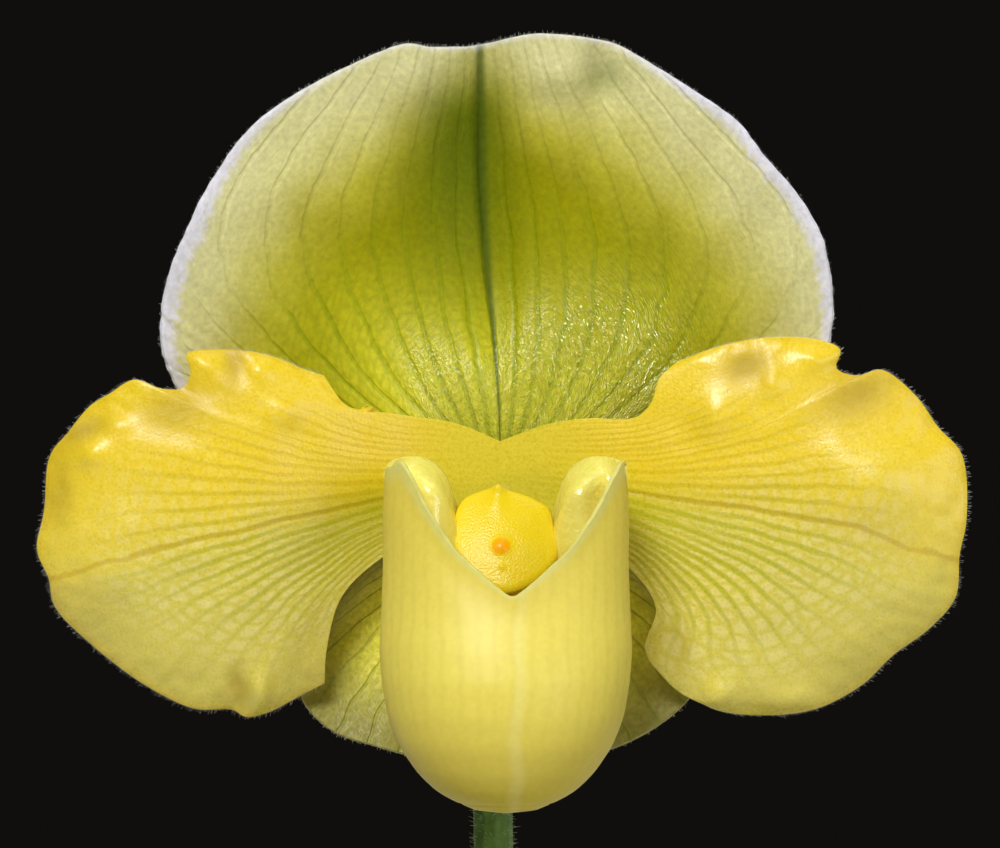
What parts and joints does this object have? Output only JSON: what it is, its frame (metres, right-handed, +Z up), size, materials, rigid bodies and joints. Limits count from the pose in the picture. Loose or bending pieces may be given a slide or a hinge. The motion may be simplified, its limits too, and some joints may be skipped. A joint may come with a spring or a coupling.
{
  "type": "potted slipper orchid",
  "caption": "Potted slipper orchid: a yellow-green flower with hooded dorsal sepal, waved petals and pouch on a hairy stem above fans of strap leaves in a clay pot of bark.",
  "frame": {"origin": "centre of the pot's flat foot, on the surface that it stands on", "axes": "+Z up the stem, -Y the way the flower looks, +X to the right as the flower is seen from its front"},
  "size_m": [0.2841, 0.127, 0.4038],
  "materials": {
    "clay": "unglazed terracotta with a pale mineral bloom",
    "bark": "damp fir bark chips with a little perlite",
    "root": "brown felted roots and old leaf bases",
    "leaf": "smooth green leaf, soft gloss",
    "stem": "green stem with short pale hairs",
    "bract": "matt green, faintly hairy",
    "ovary": "ribbed green, short hairs",
    "sepal": "waxy yellow-green with green veins and a white rim",
    "petal": "waxy yellow with green veins",
    "pouch": "glossy wax-like pale yellow",
    "staminode": "glittering bright yellow",
    "column": "pale yellow-green, smooth",
    "pollen": "sticky, glossy yellow"
  },
  "bodies": {
    "root": {"pot": "clay", "rhizome": "root", "bark_mix": "bark", "leaf_a1": "leaf", "leaf_a2": "leaf", "leaf_a3": "leaf", "leaf_a4": "leaf", "leaf_a5": "leaf", "leaf_a6": "leaf", "leaf_b1": "leaf", "leaf_b2": "leaf", "leaf_b3": "leaf", "leaf_b4": "leaf", "leaf_c1": "leaf", "leaf_c2": "leaf", "leaf_c3": "leaf", "stem": "stem", "ovary": "ovary", "bract": "bract", "petal_right": "petal", "petal_left": "petal", "dorsal_sepal": "sepal", "synsepal": "sepal", "pouch": "pouch", "column": "column", "staminode": "staminode", "stigma": "column", "anther_left": "pollen", "anther_right": "pollen"}
  },
  "joints": []
}
